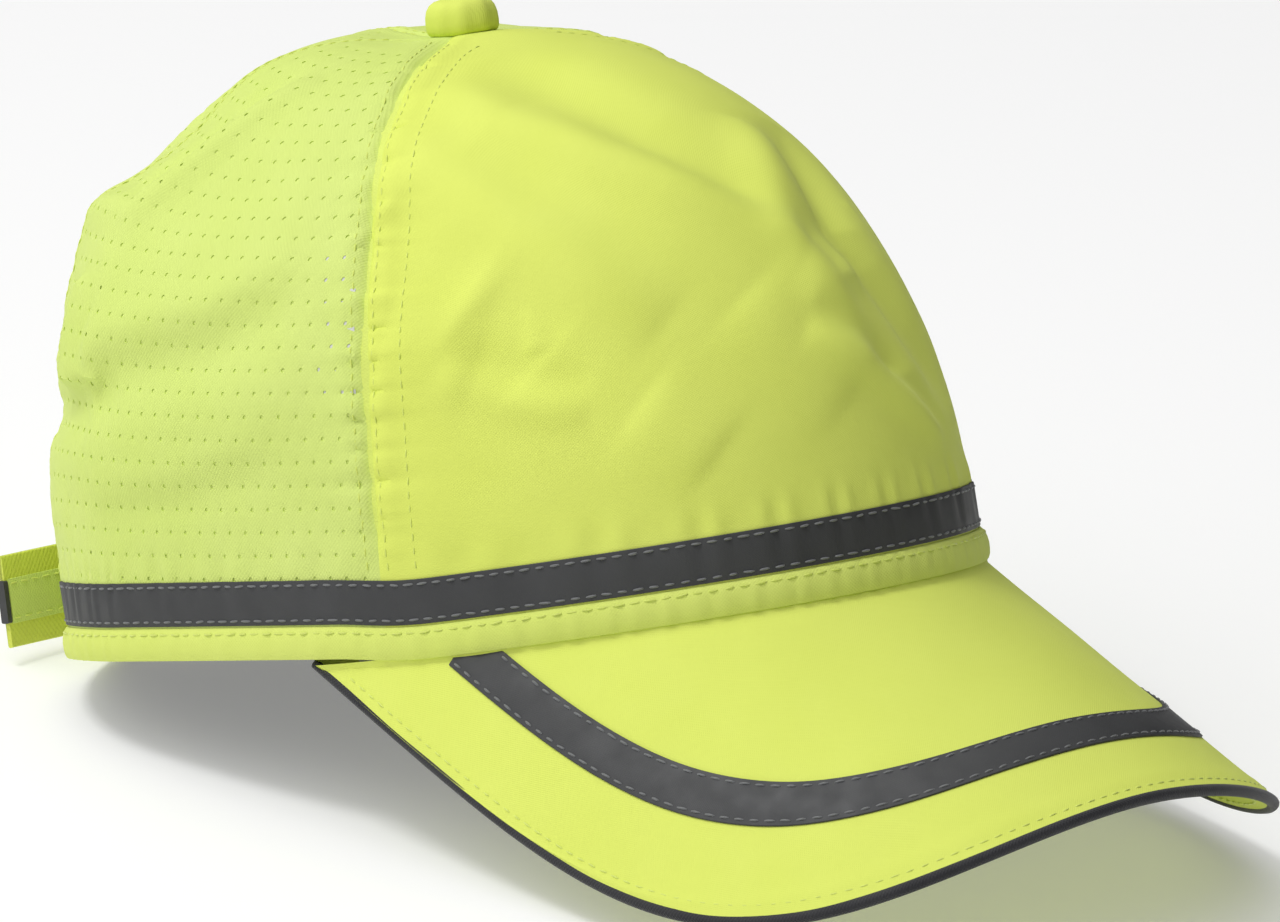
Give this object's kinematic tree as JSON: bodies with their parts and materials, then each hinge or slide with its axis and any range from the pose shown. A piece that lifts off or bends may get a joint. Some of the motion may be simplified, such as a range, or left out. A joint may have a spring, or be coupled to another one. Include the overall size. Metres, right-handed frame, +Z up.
{
  "type": "bump cap",
  "caption": "Soft high-visibility cap with a curved brim, reflective tapes, mesh back panels, a rear size strap and a removable vented impact shell with foam pads.",
  "frame": {"origin": "on the surface the cap stands on, under the middle of its bounding box", "axes": "+X forward over the brim, +Y to the wearer's left, +Z up, the cap standing on the two low points of its brim and the back of its rim"},
  "size_m": [0.2798, 0.1666, 0.1464],
  "materials": {
    "woven_lime": "smooth plain-woven polyester",
    "mesh_lime": "perforated knitted mesh",
    "trim_lime": "rolled hem and binding",
    "webbing_lime": "flat woven webbing",
    "reflective": "grey glass-bead reflective tape",
    "piping": "charcoal cotton edge",
    "lining": "stiffened buckram",
    "sweatband": "brushed terry knit",
    "board": "polyethylene peak board",
    "touch_fastener": "hook and loop",
    "shell": "moulded polyethylene",
    "foam": "closed-cell foam",
    "rivet": "plated steel"
  },
  "bodies": {
    "crown": {"front_panel": "woven_lime", "side_mesh_panel_right": "mesh_lime", "side_mesh_panel_left": "mesh_lime", "rear_mesh_panel_right": "mesh_lime", "rear_mesh_panel_left": "mesh_lime", "front_lining": "lining", "seam_tape_front_right": "trim_lime", "seam_tape_front_left": "trim_lime", "seam_tape_side_right": "trim_lime", "seam_tape_side_left": "trim_lime", "seam_tape_back": "trim_lime", "rim_hem": "trim_lime", "crown_reflective_tape": "reflective", "sweatband": "sweatband", "arch_binding": "trim_lime", "brim_top_fabric": "woven_lime", "brim_board": "board", "brim_bottom_fabric": "woven_lime", "brim_edge_piping": "piping", "brim_reflective_tape": "reflective", "button_cover": "woven_lime", "button_rivet": "rivet", "button_washer": "rivet", "strap_right": "webbing_lime", "strap_loop_strip": "touch_fastener", "strap_anchor_left": "webbing_lime", "crown_loop_tabs": "touch_fastener"},
    "size_strap": {"strap_tail": "webbing_lime", "strap_hook_strip": "touch_fastener", "strap_reflective_tape": "reflective"},
    "insert": {"insert_shell": "shell", "insert_pad_front": "foam", "insert_pad_right": "foam", "insert_pad_left": "foam", "insert_pad_rear": "foam", "insert_pad_crown": "foam", "insert_hook_tabs": "touch_fastener"}
  },
  "joints": [
    {"name": "strap_adjust", "type": "hinge", "parent": "crown", "child": "size_strap", "pos_m": [-0.03989, 0, 0.02702], "axis": [-0.2644, 0, 0.9644], "range_deg": [-6, 12]},
    {"name": "insert_release", "type": "slide", "parent": "crown", "child": "insert", "axis": [0.2644, 0, -0.9644], "range_m": [0, 0.012]}
  ]
}
